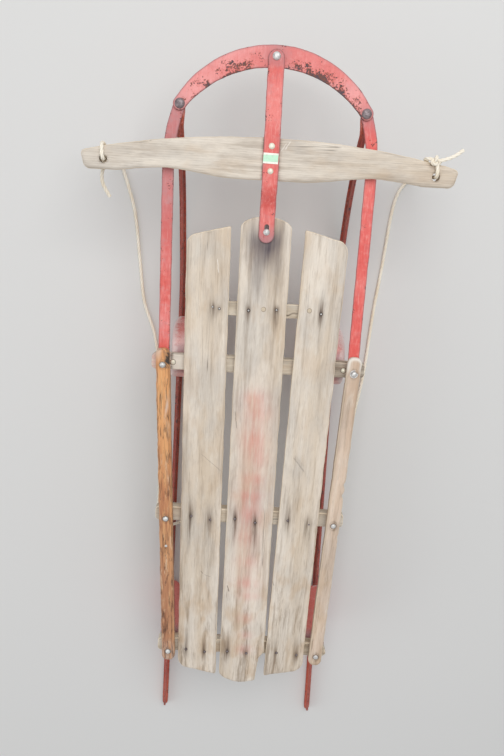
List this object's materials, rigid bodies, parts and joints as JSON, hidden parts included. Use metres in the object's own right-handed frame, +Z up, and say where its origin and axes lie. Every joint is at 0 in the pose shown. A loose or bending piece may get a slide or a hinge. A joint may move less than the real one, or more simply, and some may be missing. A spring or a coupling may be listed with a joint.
{
  "type": "steerable runner sled",
  "caption": "Low wooden sled with a slatted deck on pressed steel knees and two steel runners, steered by a wooden cross bar that bends the runner fronts.",
  "frame": {"origin": "on the floor, under the middle of the sled's length and width", "axes": "+Y to the front bow, +X to the right seen from above with the bow ahead, +Z up"},
  "size_m": [0.504, 1.1284, 0.1804],
  "materials": {
    "weathered_wood": "bare weathered ash, grey beige, dirty along the grain",
    "varnished_wood": "old orange brown varnish, cracked",
    "red_steel": "worn red enamel with rust",
    "dark_steel": "rusted dark steel",
    "bright_steel": "dull zinc plated steel",
    "rope_fibre": "twisted cotton rope, off white"
  },
  "bodies": {
    "deck": {"slat_center": "weathered_wood", "slat_left": "weathered_wood", "slat_right": "weathered_wood", "nose_batten": "weathered_wood", "crossbar_front": "weathered_wood", "crossbar_middle": "weathered_wood", "crossbar_rear": "weathered_wood", "side_rail_left": "varnished_wood", "side_rail_right": "weathered_wood", "runner_left": "red_steel", "runner_right": "red_steel", "knee_front_left": "red_steel", "knee_front_right": "red_steel", "knee_rear_left": "red_steel", "knee_rear_right": "red_steel", "deck_pin": "bright_steel", "rail_rivet_left": "bright_steel", "rail_rivet_right": "bright_steel", "rope_floor": "rope_fibre"},
    "steering_lever": {"steering_bar": "weathered_wood", "steering_strap": "red_steel", "rope_drop_left": "rope_fibre", "rope_drop_right": "rope_fibre", "rope_knot_left": "rope_fibre", "rope_knot_right": "rope_fibre"},
    "arm_left": {"side_arm_left": "red_steel", "runner_front_left": "red_steel", "bow_rivet_left": "dark_steel"},
    "arm_right": {"side_arm_right": "red_steel", "runner_front_right": "red_steel", "bow_rivet_right": "dark_steel"},
    "bow": {"front_bow": "red_steel", "bow_bolt": "bright_steel"}
  },
  "joints": [
    {"name": "steering", "type": "hinge", "parent": "deck", "child": "steering_lever", "pos_m": [0, 0.3248, 0.159], "axis": [0, 0, 1], "range_deg": [-7, 7], "stiffness_Nm_per_rad": 40},
    {"name": "arm_left_swing", "type": "hinge", "parent": "deck", "child": "arm_left", "pos_m": [-0.13756, 0.1308, 0.1483], "axis": [0, 0, 1], "range_deg": [-4.6, 4.6]},
    {"name": "arm_right_swing", "type": "hinge", "parent": "deck", "child": "arm_right", "pos_m": [0.13756, 0.1308, 0.1483], "axis": [0, 0, 1], "range_deg": [-4.6, 4.6]},
    {"name": "bow_swing", "type": "hinge", "parent": "arm_left", "child": "bow", "pos_m": [-0.124, 0.4858, 0.1565], "axis": [0, 0, 1], "range_deg": [-5.1, 5.1]}
  ],
  "couplings": [
    {"joint": "arm_left_swing", "follows": "steering", "ratio": 0.648},
    {"joint": "arm_right_swing", "follows": "steering", "ratio": 0.648},
    {"joint": "bow_swing", "follows": "steering", "ratio": -0.719}
  ]
}
